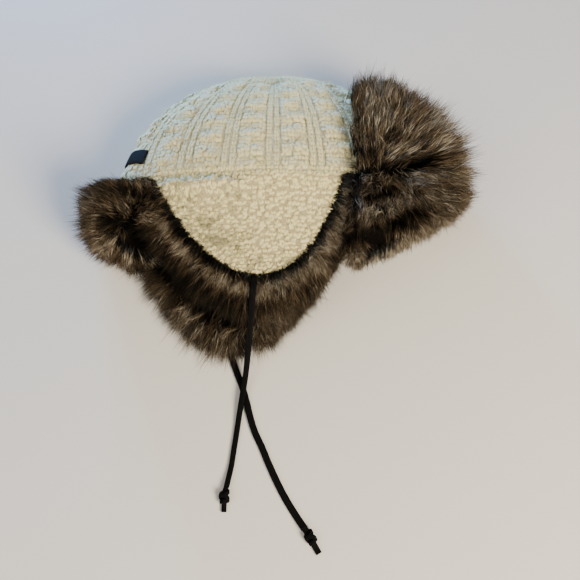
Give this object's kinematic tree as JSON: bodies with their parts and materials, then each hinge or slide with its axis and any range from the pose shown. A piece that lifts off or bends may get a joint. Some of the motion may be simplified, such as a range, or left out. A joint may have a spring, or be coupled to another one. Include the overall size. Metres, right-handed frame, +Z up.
{
  "type": "cable knit trapper hat",
  "caption": "Cable knit trapper hat with fur visor, nape and ear flaps and long leather ties, lying on its side.",
  "frame": {"origin": "middle of the box round the hat without its laces, on the surface that it lies on", "axes": "+X to the front of the hat, +Y to the top of the crown, +Z up from the surface; the head goes in from -Y"},
  "size_m": [0.3763, 0.4704, 0.1017],
  "materials": {
    "knit_wool": "brushed cream wool",
    "faux_fur": "long banded pile, dark roots and brown tips",
    "label_leather": "matte dark patch, bare",
    "lace_leather": "matte black flat lace"
  },
  "bodies": {
    "root": {"crown": "knit_wool", "ear_flap_right": "knit_wool", "ear_flap_left": "knit_wool", "fur_trim_right": "faux_fur", "fur_trim_left": "faux_fur", "fur_visor": "faux_fur", "fur_nape": "faux_fur", "label": "label_leather", "lace_right": "lace_leather", "lace_left": "lace_leather", "knot_right": "lace_leather", "knot_left": "lace_leather"}
  },
  "joints": []
}
